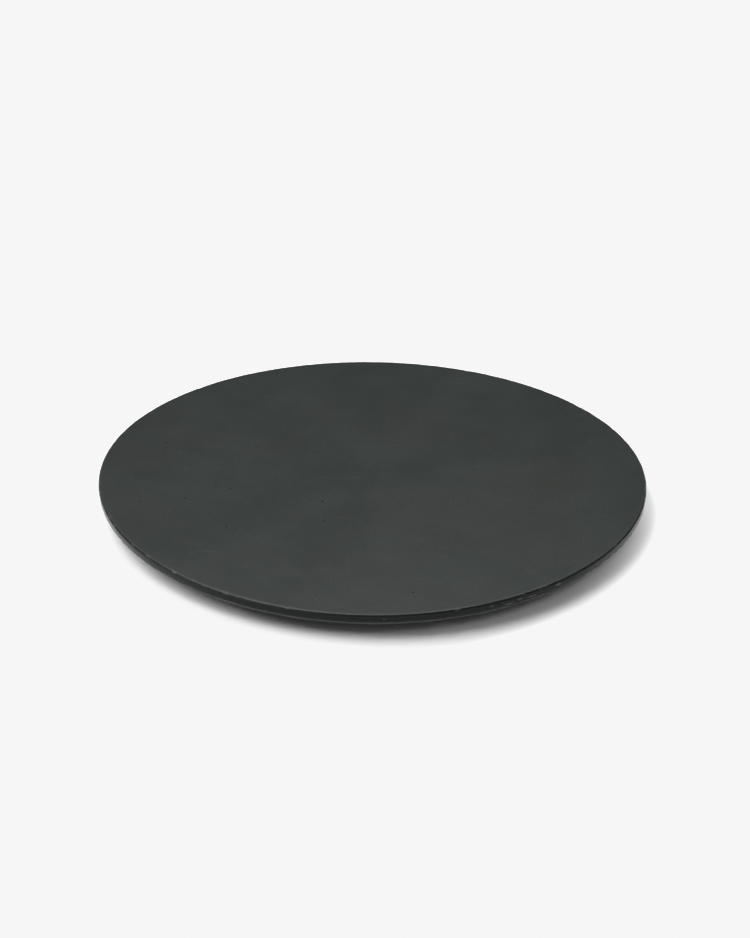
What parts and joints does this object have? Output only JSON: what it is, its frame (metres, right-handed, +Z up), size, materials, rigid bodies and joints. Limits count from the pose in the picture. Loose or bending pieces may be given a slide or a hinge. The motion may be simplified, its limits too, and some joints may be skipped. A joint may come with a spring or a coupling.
{
  "type": "basalt massage stone",
  "caption": "Thin round flat honed basalt stone for warm stone massage, with crisp arrises, an upright edge band and an undercut rim.",
  "frame": {"origin": "centre of the flat underside, on the surface that the stone lies on", "axes": "+Z up along the disc's own axis, from the underside to the top face; the disc is round, so X and Y are free"},
  "size_m": [0.16, 0.16, 0.008],
  "materials": {
    "honed_basalt": "honed, fine-grained, semi-matt"
  },
  "bodies": {
    "root": {"stone_disc": "honed_basalt"}
  },
  "joints": []
}
